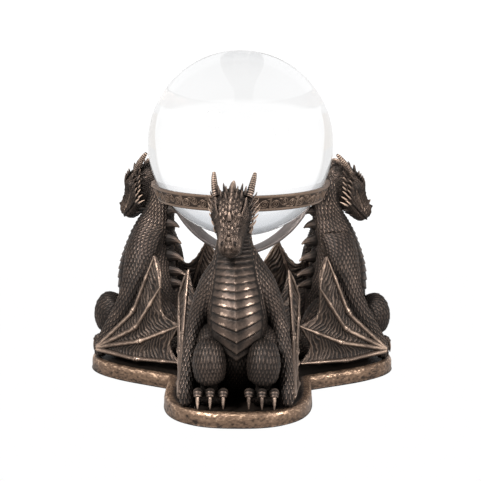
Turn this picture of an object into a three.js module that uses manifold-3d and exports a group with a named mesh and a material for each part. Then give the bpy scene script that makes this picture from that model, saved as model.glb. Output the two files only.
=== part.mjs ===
// A clear glass ball in a bronze ring, carried on the necks of three winged dragons on a trefoil base.
// Millimetres, +Z up. The origin is on the stand's axis, on the underside of the felt sheet.
import * as THREE from 'three';
import { mergeVertices } from 'three/addons/utils/BufferGeometryUtils.js';
import Module from 'manifold-3d';

const wasm = await Module();
wasm.setup();

// Driving dimensions
const BALL_RADIUS = 55;
const BALL_CENTRE_Z = 145.4;
const GAP = 0.3;

const FELT_THICKNESS = 1;
const FELT_INSET = 3;
const BASE_TOP_Z = 9.8;
const LOBE_COUNT = 3;
const LOBE_LENGTH = 99.5;
const LOBE_HALF_WIDTH = 42.7;
const LOBE_END_LENGTH = 52;
const LOBE_END_STEPS = 12;
const LOBE_SQUARENESS = 2 / 2.6;
const RIM_ROUNDING = 2.4;

const RING_TOP_Z = 122.1;
const RING_BOTTOM_Z = 112.5;
const RING_TOP_RADIUS = 53.4;
const RING_BOTTOM_RADIUS = 49.2;
const RING_BORDER_HEIGHT = 1.5;
const RING_PANEL_DEPTH = 0.45;
const RING_SIDES = 42;

const STRAP_WIDTH = 10.4;
const STRAP_THICKNESS = 2.4;
const STRAP_ARC_RADIUS = 53.8;
const STRAP_ARC_CENTRE_Z = 132.3;
const HUB_RADIUS = 5;
const HUB_HEIGHT = 3.4;

const SOCKET_DEPTH = 5;
const SPIGOT_RADIUS = 3;
const WEDGE_REACH = 200;
const TOP_OF_EVERYTHING = 160;
const WELD_DISTANCE = 1e-4;

// Finishes
const BRONZE = { color: 0x4f4038, roughness: 0.55, metalness: 0.5 };
const WING_BRONZE = { color: 0x5c4a3e, roughness: 0.5, metalness: 0.5 };
const HEAD_BRONZE = { color: 0x564439, roughness: 0.5, metalness: 0.5 };
const RING_BRONZE = { color: 0x6b5238, roughness: 0.5, metalness: 0.55 };
const RIM_BRONZE = { color: 0x8a705a, roughness: 0.6, metalness: 0.4 };
const FELT = { color: 0x16140f, roughness: 1, metalness: 0 };
const GLASS = { color: 0xf4f6f8, roughness: 0.02, metalness: 0, transparent: true, opacity: 0.35 };

// A point from a dragon's own measures: sideways from its middle, outward from the stand's axis, and up.
const at = (side, out, up) => new THREE.Vector3(side, -out, up);

function solid(geometry) {
  const plain = geometry.index ? geometry : geometry.clone();
  plain.deleteAttribute('normal');
  plain.deleteAttribute('uv');
  const merged = mergeVertices(plain, WELD_DISTANCE);
  return new wasm.Manifold(new wasm.Mesh({
    numProp: 3,
    vertProperties: new Float32Array(merged.attributes.position.array),
    triVerts: new Uint32Array(merged.index.array),
  }));
}

function join(solids) {
  return solids.reduce((whole, piece) => whole.add(piece));
}

function geometryOf(manifold) {
  const mesh = manifold.getMesh();
  const geometry = new THREE.BufferGeometry();
  geometry.setAttribute('position', new THREE.BufferAttribute(mesh.vertProperties, 3));
  geometry.setIndex(new THREE.BufferAttribute(mesh.triVerts, 1));
  return geometry;
}

// A bar of oval section. Each station is [side, out, up, half width, half depth].
function bar(stations, sides, steps, grow = 0, across = new THREE.Vector3(1, 0, 0)) {
  const centre = new THREE.CatmullRomCurve3(stations.map((s) => at(s[0], s[1], s[2])));
  const sizes = new THREE.CatmullRomCurve3(stations.map((s) => new THREE.Vector3(s[3], s[4], 0)));
  const geometry = new THREE.CylinderGeometry(1, 1, 1, sides, steps);
  const position = geometry.attributes.position;
  for (let i = 0; i < position.count; i++) {
    const t = THREE.MathUtils.clamp(position.getY(i) + 0.5, 0, 1);
    const along = centre.getTangent(t);
    const sideways = across.clone().addScaledVector(along, -across.dot(along)).normalize();
    const outward = sideways.clone().cross(along);
    const size = sizes.getPoint(t);
    const point = centre.getPoint(t);
    point.addScaledVector(sideways, position.getX(i) * (size.x + grow));
    point.addScaledVector(outward, position.getZ(i) * (size.y + grow));
    position.setXYZ(i, point.x, point.y, point.z);
  }
  return solid(geometry);
}

function rod(from, to, radius, sides = 8) {
  const along = to.clone().sub(from);
  const geometry = new THREE.CylinderGeometry(radius, radius, along.length(), sides);
  geometry.applyQuaternion(
    new THREE.Quaternion().setFromUnitVectors(new THREE.Vector3(0, 1, 0), along.clone().normalize()));
  const middle = from.clone().add(to).multiplyScalar(0.5);
  geometry.translate(middle.x, middle.y, middle.z);
  return solid(geometry);
}

// The trefoil outline, drawn in by inset all round.
function trefoil(inset) {
  const halfWidth = LOBE_HALF_WIDTH - inset;
  const straightEnd = LOBE_LENGTH - LOBE_END_LENGTH;
  const junction = halfWidth / Math.tan(Math.PI / LOBE_COUNT);
  const shape = new THREE.Shape();
  for (let lobe = 0; lobe < LOBE_COUNT; lobe++) {
    const facing = -Math.PI / 2 + (lobe * 2 * Math.PI) / LOBE_COUNT;
    const place = (out, side) => new THREE.Vector2(out, side).rotateAround(new THREE.Vector2(), facing);
    const outline = [place(junction, -halfWidth)];
    for (let i = 0; i <= LOBE_END_STEPS; i++) {
      const turn = -Math.PI / 2 + (i * Math.PI) / LOBE_END_STEPS;
      const outShare = Math.max(Math.cos(turn), 0) ** LOBE_SQUARENESS;
      const sideShare = Math.sign(turn) * Math.abs(Math.sin(turn)) ** LOBE_SQUARENESS;
      outline.push(place(straightEnd + (LOBE_END_LENGTH - inset) * outShare, halfWidth * sideShare));
    }
    for (const point of outline) {
      if (lobe === 0 && point === outline[0]) shape.moveTo(point.x, point.y);
      else shape.lineTo(point.x, point.y);
    }
  }
  return shape;
}

function basePlinth() {
  const bottom = FELT_THICKNESS + GAP;
  const geometry = new THREE.ExtrudeGeometry(trefoil(RIM_ROUNDING), {
    depth: BASE_TOP_Z - bottom - 2 * RIM_ROUNDING,
    bevelThickness: RIM_ROUNDING,
    bevelSize: RIM_ROUNDING,
    bevelSegments: 2,
  });
  geometry.translate(0, 0, bottom + RIM_ROUNDING);
  return geometry;
}

function feltSheet() {
  return new THREE.ExtrudeGeometry(trefoil(FELT_INSET), { depth: FELT_THICKNESS, bevelEnabled: false });
}

function ballSurfaceRadius(z, clearance) {
  const height = BALL_CENTRE_Z - z;
  return Math.sqrt((BALL_RADIUS + clearance) ** 2 - height ** 2);
}

function ringOuterRadius(z) {
  const share = (z - RING_BOTTOM_Z) / (RING_TOP_Z - RING_BOTTOM_Z);
  return RING_BOTTOM_RADIUS + share * (RING_TOP_RADIUS - RING_BOTTOM_RADIUS);
}

// A flared band: plain raised borders above and below a sunk panel, and a seat cut to the ball inside.
function cradleRing() {
  const seatClearance = GAP + 0.15;
  const profile = [];
  for (const share of [0, 1 / 3, 2 / 3, 1]) {
    const z = RING_TOP_Z + share * (RING_BOTTOM_Z - RING_TOP_Z);
    profile.push(new THREE.Vector2(ballSurfaceRadius(z, seatClearance), z));
  }
  const lowerPanelZ = RING_BOTTOM_Z + RING_BORDER_HEIGHT;
  const upperPanelZ = RING_TOP_Z - RING_BORDER_HEIGHT;
  profile.push(new THREE.Vector2(RING_BOTTOM_RADIUS, RING_BOTTOM_Z));
  profile.push(new THREE.Vector2(ringOuterRadius(lowerPanelZ), lowerPanelZ));
  profile.push(new THREE.Vector2(ringOuterRadius(lowerPanelZ) - RING_PANEL_DEPTH, lowerPanelZ + 0.3));
  profile.push(new THREE.Vector2(ringOuterRadius(upperPanelZ) - RING_PANEL_DEPTH, upperPanelZ - 0.3));
  profile.push(new THREE.Vector2(ringOuterRadius(upperPanelZ), upperPanelZ));
  profile.push(new THREE.Vector2(RING_TOP_RADIUS, RING_TOP_Z));
  profile.push(profile[0].clone());
  return new THREE.LatheGeometry(profile, RING_SIDES).rotateX(Math.PI / 2);
}

// The space that the ring and the ball need, which the dragons are cut back from.
function cradleEnvelope() {
  const top = TOP_OF_EVERYTHING;
  const profile = [
    new THREE.Vector2(0, RING_BOTTOM_Z - GAP),
    new THREE.Vector2(RING_BOTTOM_RADIUS + GAP, RING_BOTTOM_Z - GAP),
    new THREE.Vector2(RING_TOP_RADIUS + GAP, RING_TOP_Z),
    new THREE.Vector2(BALL_RADIUS + 2 * GAP, BALL_CENTRE_Z - 10),
    new THREE.Vector2(BALL_RADIUS + 2 * GAP, top),
    new THREE.Vector2(0, top),
  ];
  return solid(new THREE.LatheGeometry(profile, RING_SIDES).rotateX(Math.PI / 2));
}

function strapHeight(out) {
  return STRAP_ARC_CENTRE_Z - Math.sqrt(STRAP_ARC_RADIUS ** 2 - out ** 2);
}

// A flat strap bent to an arc, from the hub's edge up to the underside of the ring.
function cradleStrap() {
  const inner = HUB_RADIUS + GAP;
  const outer = RING_BOTTOM_RADIUS - STRAP_THICKNESS;
  const steps = 12;
  const upper = [];
  const lower = [];
  for (let i = 0; i <= steps; i++) {
    const out = inner + ((outer - inner) * i) / steps;
    const slope = Math.asin(out / STRAP_ARC_RADIUS);
    lower.push(new THREE.Vector2(out, strapHeight(out)));
    upper.push(new THREE.Vector2(
      out - STRAP_THICKNESS * Math.sin(slope),
      strapHeight(out) + STRAP_THICKNESS * Math.cos(slope)));
  }
  const shape = new THREE.Shape([...lower, ...upper.reverse()]);
  const geometry = new THREE.ExtrudeGeometry(shape, { depth: STRAP_WIDTH, bevelEnabled: false });
  geometry.translate(0, 0, -STRAP_WIDTH / 2);
  geometry.rotateX(Math.PI / 2);
  geometry.rotateZ(-Math.PI / 2);
  const below = new THREE.CylinderGeometry(RING_TOP_RADIUS, RING_TOP_RADIUS, RING_BOTTOM_Z - GAP, RING_SIDES);
  below.rotateX(Math.PI / 2);
  below.translate(0, 0, (RING_BOTTOM_Z - GAP) / 2);
  const hubRoom = new THREE.CylinderGeometry(HUB_RADIUS + GAP, HUB_RADIUS + GAP, TOP_OF_EVERYTHING, 24);
  hubRoom.rotateX(Math.PI / 2);
  return solid(geometry).intersect(solid(below)).subtract(solid(hubRoom));
}

function cradleHub() {
  const low = strapHeight(0) - 0.7;
  const profile = [
    new THREE.Vector2(0, low),
    new THREE.Vector2(HUB_RADIUS - 1, low),
    new THREE.Vector2(HUB_RADIUS, low + 1),
    new THREE.Vector2(HUB_RADIUS, low + HUB_HEIGHT - 0.6),
    new THREE.Vector2(HUB_RADIUS - 0.6, low + HUB_HEIGHT),
    new THREE.Vector2(0, low + HUB_HEIGHT),
  ];
  return new THREE.LatheGeometry(profile, 20).rotateX(Math.PI / 2);
}

// The third of the space over the base that belongs to one dragon.
function sector() {
  const reachSide = WEDGE_REACH * Math.sin(Math.PI / LOBE_COUNT);
  const reachOut = WEDGE_REACH * Math.cos(Math.PI / LOBE_COUNT);
  const apex = 0.2;
  const shape = new THREE.Shape([
    new THREE.Vector2(0, -apex),
    new THREE.Vector2(-reachSide, -apex - reachOut),
    new THREE.Vector2(-reachSide, -WEDGE_REACH),
    new THREE.Vector2(reachSide, -WEDGE_REACH),
    new THREE.Vector2(reachSide, -apex - reachOut),
  ]);
  const geometry = new THREE.ExtrudeGeometry(shape, {
    depth: TOP_OF_EVERYTHING - BASE_TOP_Z - GAP,
    bevelEnabled: false,
  });
  geometry.translate(0, 0, BASE_TOP_Z + GAP);
  return solid(geometry);
}

// The trunk from the rump on the base, up through the belly and chest, to the neck under the head.
// The neck and head lean to one side by HEAD_LEAN.
const HEAD_LEAN = -2;
const HEAD_TURN = THREE.MathUtils.degToRad(5.2);
const TRUNK = [
  [0, 46, 8, 9, 8],
  [0, 52, 15, 13, 11],
  [0, 59, 26, 14.4, 14],
  [0, 65.4, 40, 15.6, 17.8],
  [0, 68.3, 54, 15.9, 19.2],
  [HEAD_LEAN * 0.25, 68.6, 67, 14.8, 17.6],
  [HEAD_LEAN * 0.5, 66.8, 81, 11.6, 13.8],
  [HEAD_LEAN * 0.8, 62.2, 94, 9.7, 10.2],
  [HEAD_LEAN * 0.95, 59.6, 103, 8.9, 8.8],
  [HEAD_LEAN, 58.4, 109, 8.4, 8.2],
];
const NECK_END = at(HEAD_LEAN, 58.4, 109);
const NECK_WAY = NECK_END.clone().sub(at(HEAD_LEAN, 59.6, 103)).normalize();

// Fins down the spine: [out of the tip, height of the tip, length of the root].
const FINS = [
  [46.8, 99.6, 8],
  [46.2, 91.2, 8],
  [45.6, 81.6, 9],
  [43.4, 69.4, 9],
  [41, 61, 8.5],
  [40.2, 53.4, 8.5],
];

function spineRoot(z) {
  const curve = new THREE.CatmullRomCurve3(TRUNK.map((s) => at(0, s[1] - s[4] * 0.9, s[2])));
  let best = curve.getPoint(0);
  for (let i = 0; i <= 60; i++) {
    const point = curve.getPoint(i / 60);
    if (Math.abs(point.z - z) < Math.abs(best.z - z)) best = point;
  }
  return -best.y;
}

function spineFin([tipOut, tipUp, rootLength]) {
  const thickness = 1.8;
  const rootOut = spineRoot(tipUp) + 3;
  const shape = new THREE.Shape([
    new THREE.Vector2(rootOut, tipUp - rootLength * 0.35),
    new THREE.Vector2(tipOut, tipUp),
    new THREE.Vector2(rootOut, tipUp + rootLength * 0.65),
  ]);
  const geometry = new THREE.ExtrudeGeometry(shape, { depth: thickness, bevelEnabled: false });
  geometry.translate(0, 0, -thickness / 2);
  geometry.rotateX(Math.PI / 2);
  geometry.rotateZ(-Math.PI / 2);
  return solid(geometry);
}

function trunk(grow) {
  return bar(TRUNK, 10, 9, grow);
}

// Thigh with a round knee, shin, and a foot of three toes with long claws.
function hindLeg(side, grow) {
  const parts = [
    bar([
      [side * 12, 44, 22, 6, 8],
      [side * 15, 52, 34, 10.5, 15],
      [side * 15.5, 62, 40, 9.5, 13.5],
      [side * 14.8, 75, 36, 8.2, 11.4],
      [side * 15, 86, 34.3, 8.5, 12],
      [side * 15, 92, 34, 6.8, 9.6],
      [side * 15, 96, 33.8, 2.6, 3.8],
    ], 8, 8, grow),
    bar([
      [side * 15, 82, 27, 5, 6],
      [side * 15, 77.5, 18, 4, 4.5],
      [side * 14.5, 80, 9, 4.6, 4.6],
    ], 6, 2, grow),
    bar([
      [side * 14.5, 76, 11, 6, 4],
      [side * 14.5, 87, 16, 7.4, 3],
    ], 6, 1, grow),
  ];
  for (const toe of [7, 14.2, 21]) {
    const spread = side * toe;
    const root = side * (14.5 + (toe - 14) * 0.7);
    parts.push(bar([
      [root, 83, 15, 2.6, 2.6],
      [spread, 91, 19.4, 2.1, 2.1],
      [spread, 94.6, 16, 1.3, 1.3],
      [spread, 95.4, 10.4, 0.35, 0.35],
    ], 4, 3, grow));
  }
  return join(parts);
}

function dragonBody(ownSector, envelope) {
  const spigotEnd = NECK_END.clone().addScaledVector(NECK_WAY, SOCKET_DEPTH);
  const body = join([
    trunk(0),
    hindLeg(1, 0),
    hindLeg(-1, 0),
    ...FINS.map(spineFin),
    rod(NECK_END.clone().addScaledVector(NECK_WAY, -2), spigotEnd, SPIGOT_RADIUS),
  ]);
  let cut = body.intersect(ownSector).subtract(envelope);
  for (const side of [1, -1]) {
    const inner = at(side * 8, 62, 68);
    const outer = at(side * 24, 62, 68);
    cut = cut.subtract(rod(inner, outer, SPIGOT_RADIUS + GAP));
  }
  return cut;
}

// The head, bowed out and down: nape, skull and snout, jaw, horns, crest, brows and cheek spikes.
const SKULL_BACK = new THREE.Vector2(63.4, 121.4);
const SNOUT_WAY = new THREE.Vector2(0.66, -0.75).normalize();
const FACE_WAY = new THREE.Vector2(-SNOUT_WAY.y, SNOUT_WAY.x);

// A point of the head as [side, out, up]. The head leans aside and is turned a little about the skull's back.
function turned(side, out, up) {
  const forward = out - SKULL_BACK.x;
  return [
    side * Math.cos(HEAD_TURN) - forward * Math.sin(HEAD_TURN) + HEAD_LEAN,
    SKULL_BACK.x + side * Math.sin(HEAD_TURN) + forward * Math.cos(HEAD_TURN),
    up,
  ];
}

// A head point from its distance along the snout, its height over the snout's line, and sideways.
function headPoint(along, over, side) {
  const spot = SKULL_BACK.clone().addScaledVector(SNOUT_WAY, along).addScaledVector(FACE_WAY, over);
  return turned(side, spot.x, spot.y);
}

function spike(base, tip, radius, sides = 4) {
  const middle = base.map((value, i) => (value + tip[i]) / 2);
  return bar([
    [...base, radius, radius],
    [...middle, radius * 0.62, radius * 0.62],
    [...tip, 0.25, 0.25],
  ], sides, 2);
}

function dragonHead(ownSector, envelope) {
  const skull = bar([
    [...headPoint(-3, 0.2, 0), 7, 7.6],
    [...headPoint(3, 1.4, 0), 9.4, 11],
    [...headPoint(11, 1.8, 0), 10.4, 12.4],
    [...headPoint(17, 1.4, 0), 9.5, 11.6],
    [...headPoint(23, 0, 0), 7.8, 9.5],
    [...headPoint(30, -0.5, 0), 6.8, 7.9],
    [...headPoint(35.2, -0.6, 0), 4.2, 4],
  ], 8, 6);
  const napeStart = NECK_END.clone().addScaledVector(NECK_WAY, GAP);
  const nape = bar([
    [HEAD_LEAN, -napeStart.y, napeStart.z, 8.3, 8.1],
    [HEAD_LEAN, 58.2, 113.5, 8.2, 8],
    [HEAD_LEAN, 60, 118.5, 8.4, 8],
    [HEAD_LEAN, 64, 120.5, 8, 7],
  ], 8, 2);
  const parts = [skull, nape];
  for (const side of [1, -1]) {
    parts.push(bar([
      [...turned(side * 8, 73, 121), 2.6, 2.6],
      [...turned(side * 10.6, 65.6, 131.2), 1.7, 1.7],
      [...turned(side * 11.5, 60.2, 136.7), 0.5, 0.5],
    ], 6, 3));
    parts.push(spike(headPoint(22, 6, side * 4.4), headPoint(13, 12.6, side * 8), 3));
    for (const [along, over, reach] of [[9, 3, 9], [15, -2, 8]]) {
      const cheekRoot = headPoint(along, over, side * 6.4);
      parts.push(spike(cheekRoot, headPoint(along - reach, over - 1, side * 14.2), 1.8));
    }
  }
  parts.push(spike(headPoint(2, 8, 0), headPoint(-7.9, 7.8, 0), 2.6));
  parts.push(spike(headPoint(9, 10.4, 0), headPoint(4, 13.8, 0), 2));
  parts.push(spike(headPoint(28, 5.4, 0), headPoint(27.6, 9.6, 0), 1.6));
  const socketStart = NECK_END.clone().addScaledVector(NECK_WAY, -1);
  const socketEnd = NECK_END.clone().addScaledVector(NECK_WAY, SOCKET_DEPTH + GAP);
  return join(parts)
    .intersect(ownSector)
    .subtract(envelope)
    .subtract(trunk(GAP))
    .subtract(rod(socketStart, socketEnd, SPIGOT_RADIUS + GAP));
}

// Wing bones: the root, knuckle and tip of each as [side, out, up], with straight lengths between them.
const WRIST = [31, 85, 16.4];
const FINGERS = [
  [WRIST, [31, 57.2, 42], [28.6, 42.8, 78]],
  [WRIST, [33, 54.2, 33], [34.8, 34.4, 61]],
  [WRIST, [33.2, 52, 24.7], [33, 21.8, 38.6]],
  [[31, 85, 15], [33.8, 56.8, 13.4], [33.4, 22, 15.6]],
];
const ARM_TO_BACK = [WRIST, [27, 74, 34], [23, 66, 50], [18, 60, 63], [13.4, 54, 66]];
const SCALLOPS = [0.2, -0.02, 0.13, 0.12];
const SKIN_THICKNESS = 1.2;
const BONE_THICKNESS = 2.6;
const SKIN_COLUMNS = 3;
const SKIN_ROWS = 5;
const SKIN_START = 0.1;
// How far the skin is sampled to find its slope, as shares of a bone's length and of a span
const BONE_PROBE = 0.05;
const SPAN_PROBE = 0.2;
const ON_BONE = 0.01;

// The folded wing's sheet: a thin skin from the back over all four bones, thick along each bone.
// Between two bones its free edge is drawn back in a scallop.
function wingSheet(side) {
  const placed = (points) => points.map((p) => at(side * p[0], p[1], p[2]));
  const armEdge = new THREE.CatmullRomCurve3(placed(ARM_TO_BACK));
  const bones = FINGERS.map(placed);
  const edgePoint = (number, reach) => {
    if (number === 0) return armEdge.getPoint(reach);
    const [root, knuckle, tip] = bones[number - 1];
    if (reach < 0.5) return root.clone().lerp(knuckle, 2 * reach);
    return knuckle.clone().lerp(tip, 2 * reach - 1);
  };
  const skinPoint = (u, v) => {
    const span = Math.min(Math.floor(v), SCALLOPS.length - 1);
    const share = v - span;
    const reach = u * (1 - SCALLOPS[span] * Math.sin(Math.PI * share));
    return edgePoint(span, reach).lerp(edgePoint(span + 1, reach), share);
  };
  const spans = SCALLOPS.length;
  const geometry = new THREE.BoxGeometry(1, 1, 1, spans * SKIN_COLUMNS, SKIN_ROWS, 1);
  const position = geometry.attributes.position;
  for (let i = 0; i < position.count; i++) {
    const v = THREE.MathUtils.clamp((position.getX(i) + 0.5) * spans, 0, spans);
    const u = SKIN_START + (1 - SKIN_START) * (position.getY(i) + 0.5);
    const alongBone = skinPoint(u, v).sub(skinPoint(u - BONE_PROBE, v));
    const ahead = skinPoint(u, Math.min(v + SPAN_PROBE, spans));
    const acrossSkin = ahead.sub(skinPoint(u, Math.max(v - SPAN_PROBE, 0)));
    const normal = acrossSkin.cross(alongBone).normalize();
    const onBone = Math.abs(v - Math.round(v)) < ON_BONE && v > 0.5;
    const thickness = onBone ? BONE_THICKNESS * (1 - 0.6 * u) + 0.4 : SKIN_THICKNESS;
    const point = skinPoint(u, v).addScaledVector(normal, position.getZ(i) * thickness);
    position.setXYZ(i, point.x, point.y, point.z);
  }
  return solid(geometry);
}

function dragonWing(side, ownSector, envelope, bodyRoom) {
  const arm = bar([
    [side * 8.8, 62.4, 83, 6.2, 8.6],
    [side * 13.4, 63.4, 75, 7, 9.4],
    [side * 18.2, 63.2, 65.5, 6, 8.6],
    [side * 22.6, 64.7, 54, 4.6, 6.6],
    [side * 25.6, 69.4, 41, 3.9, 5.3],
    [side * 27.2, 77.4, 28, 3.6, 4.5],
    [side * 27.9, 84, 17, 3.6, 4],
    [side * 27.6, 85.6, 9.8, 2.8, 3],
  ], 8, 8);
  const spigot = rod(at(side * 10, 62, 68), at(side * 18, 62, 68), SPIGOT_RADIUS);
  const wing = join([arm, wingSheet(side)]).subtract(bodyRoom).add(spigot);
  return wing.intersect(ownSector).subtract(envelope);
}

// The tail leaves the rump, lies on the base and curls round the middle.
function dragonTail(ownSector, bodyRoom) {
  const tail = bar([
    [0, 44, 14, 6, 5.5],
    [1, 34, 14, 4.8, 4.2],
    [6, 25, 13.2, 3.6, 3.4],
    [15, 21, 12.6, 2.8, 2.6],
    [22, 26, 12, 2, 2],
    [22, 34, 11.6, 1, 1],
  ], 7, 8, 0, new THREE.Vector3(0, 0, 1));
  return tail.subtract(bodyRoom).intersect(ownSector);
}

const object = new THREE.Group();

function place(name, geometry, finish, group = object, turn = 0) {
  const mesh = new THREE.Mesh(geometry, new THREE.MeshStandardMaterial(finish));
  mesh.name = name;
  mesh.rotation.z = turn;
  group.add(mesh);
}

place('felt_sheet', feltSheet(), FELT);
place('base_plinth', basePlinth(), RIM_BRONZE);
place('cradle_ring', cradleRing(), RING_BRONZE);
place('cradle_hub', cradleHub(), RING_BRONZE);
place('crystal_ball',
  new THREE.SphereGeometry(BALL_RADIUS, 32, 16).rotateX(Math.PI / 2).translate(0, 0, BALL_CENTRE_Z), GLASS);

const ownSector = sector();
const envelope = cradleEnvelope();
const bodyRoom = join([trunk(GAP), hindLeg(1, GAP), hindLeg(-1, GAP)]);
const castings = {
  body: [dragonBody(ownSector, envelope), BRONZE],
  head: [dragonHead(ownSector, envelope), HEAD_BRONZE],
  wing_left: [dragonWing(1, ownSector, envelope, bodyRoom), WING_BRONZE],
  wing_right: [dragonWing(-1, ownSector, envelope, bodyRoom), WING_BRONZE],
  tail: [dragonTail(ownSector, bodyRoom), BRONZE],
};
const strap = geometryOf(cradleStrap());
for (const [index, where] of ['front', 'right', 'left'].entries()) {
  const turn = (index * 2 * Math.PI) / LOBE_COUNT;
  for (const [piece, [casting, finish]] of Object.entries(castings)) {
    place(`dragon_${where}_${piece}`, geometryOf(casting), finish, object, turn);
  }
  place(`cradle_strap_${where}`, strap.clone(), RING_BRONZE, object, turn);
}

export default object;
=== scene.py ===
import math

import bpy
import numpy as np
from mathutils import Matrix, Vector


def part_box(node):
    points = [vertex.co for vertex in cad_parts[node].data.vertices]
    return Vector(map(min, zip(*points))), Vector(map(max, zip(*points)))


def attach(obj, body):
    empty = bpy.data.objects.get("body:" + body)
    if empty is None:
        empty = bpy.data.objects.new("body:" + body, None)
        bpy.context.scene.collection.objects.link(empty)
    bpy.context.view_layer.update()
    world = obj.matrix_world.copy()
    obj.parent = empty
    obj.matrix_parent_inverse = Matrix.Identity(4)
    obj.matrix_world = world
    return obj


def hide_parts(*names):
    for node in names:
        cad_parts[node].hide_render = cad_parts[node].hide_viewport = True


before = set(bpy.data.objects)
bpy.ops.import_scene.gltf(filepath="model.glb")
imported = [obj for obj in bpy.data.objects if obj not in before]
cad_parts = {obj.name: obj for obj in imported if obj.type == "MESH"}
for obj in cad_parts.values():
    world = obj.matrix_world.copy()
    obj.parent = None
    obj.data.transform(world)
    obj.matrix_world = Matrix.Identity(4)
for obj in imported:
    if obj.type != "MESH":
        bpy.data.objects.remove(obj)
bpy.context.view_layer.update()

MM = 0.001
DRAGONS = {"front": 0.0, "right": 2 * math.pi / 3, "left": 4 * math.pi / 3}


def corners(node):
    """A CAD node's lowest and highest corner, in millimetres."""
    return [np.array(corner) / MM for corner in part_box(node)]


BALL_LOW, BALL_HIGH = corners("crystal_ball")
RING_LOW, RING_HIGH = corners("cradle_ring")
HUB_LOW, HUB_HIGH = corners("cradle_hub")
STRAP_LOW, STRAP_HIGH = corners("cradle_strap_front")
BASE_LOW, BASE_HIGH = corners("base_plinth")
FELT_LOW, FELT_HIGH = corners("felt_sheet")

# How each dragon's head is set, as in the CAD model, with lengths in millimetres
HEAD_LEAN = -2.0
HEAD_TURN = math.radians(5.2)
SKULL_BACK = np.array([63.4, 121.4])
SNOUT_WAY = np.array([0.66, -0.75]) / math.hypot(0.66, 0.75)
FACE_WAY = np.array([-SNOUT_WAY[1], SNOUT_WAY[0]])


# ---- numbers and noise

def smooth(low, high, x):
    """0 below low, 1 above high, and an S between."""
    t = np.clip((x - low) / (high - low), 0, 1)
    return t * t * (3 - 2 * t)


def bump(x, width):
    """1 at nought, and falling away on both sides."""
    return np.exp(-(x / width) ** 2)


def hump(x, y):
    """1 at nought in both directions, and falling away all round."""
    return np.exp(-x ** 2 - y ** 2)


def ripple(turns):
    """A wave from 0 to 1, highest at each whole turn."""
    return 0.5 + 0.5 * np.cos(2 * math.pi * turns)


def spline(stations, t):
    """Catmull-Rom through evenly spaced stations (n, k), read at t in 0..1."""
    points = np.asarray(stations, float)
    spans = len(points) - 1
    padded = np.vstack([2 * points[0] - points[1], points, 2 * points[-1] - points[-2]])
    x = np.clip(np.asarray(t, float), 0, 1) * spans
    i = np.minimum(x.astype(int), spans - 1)
    f = (x - i)[..., None]
    a, b, c, d = (padded[i + k] for k in range(4))
    square = (2 * a - 5 * b + 4 * c - d) * f ** 2
    cube = (3 * b - a - 3 * c + d) * f ** 3
    return 0.5 * (2 * b + (c - a) * f + square + cube)


def lattice(cells, seed):
    """A repeatable value from 0 to 1 for each whole-number cell (..., k), by the usual sine hash."""
    total = np.full(cells.shape[:-1], seed * 101.7 + 3.1)
    for axis, prime in zip(range(cells.shape[-1]), (12.9898, 78.233, 37.719)):
        total = total + cells[..., axis] * prime
    value = np.sin(total) * 43758.5453
    return value - np.floor(value)


def noise(points, size, seed=0):
    """Smooth value noise from 0 to 1 with lumps of about the given size."""
    q = np.asarray(points, float) / size
    cell = np.floor(q)
    f = q - cell
    f = f * f * (3 - 2 * f)
    axes = q.shape[-1]
    total = 0
    for corner in range(2 ** axes):
        step = np.array([(corner >> k) & 1 for k in range(axes)], float)
        weight = np.prod(np.where(step > 0, f, 1 - f), axis=-1)
        total = total + weight * lattice(cell + step, seed)
    return total


def rough_noise(points, size, seed=0, octaves=3):
    total, share, weight = 0, 0, 1.0
    for k in range(octaves):
        total = total + weight * noise(points, size / 2 ** k, seed + k)
        share += weight
        weight *= 0.5
    return total / share


def stacked(*values):
    """Arrays broadcast to one shape and stacked as the parts of a vector."""
    return np.stack(np.broadcast_arrays(*values), -1)


def turned(radius, up, columns):
    """A grid of points round the upright axis, from a radius and a height for each row (rows, 1)."""
    turn = np.linspace(-math.pi, math.pi, columns, endpoint=False)
    return stacked(radius * np.sin(turn), radius * np.cos(turn), up)


def unit(v):
    return v / np.maximum(np.linalg.norm(v, axis=-1, keepdims=True), 1e-9)


# ---- modelling clay

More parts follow.
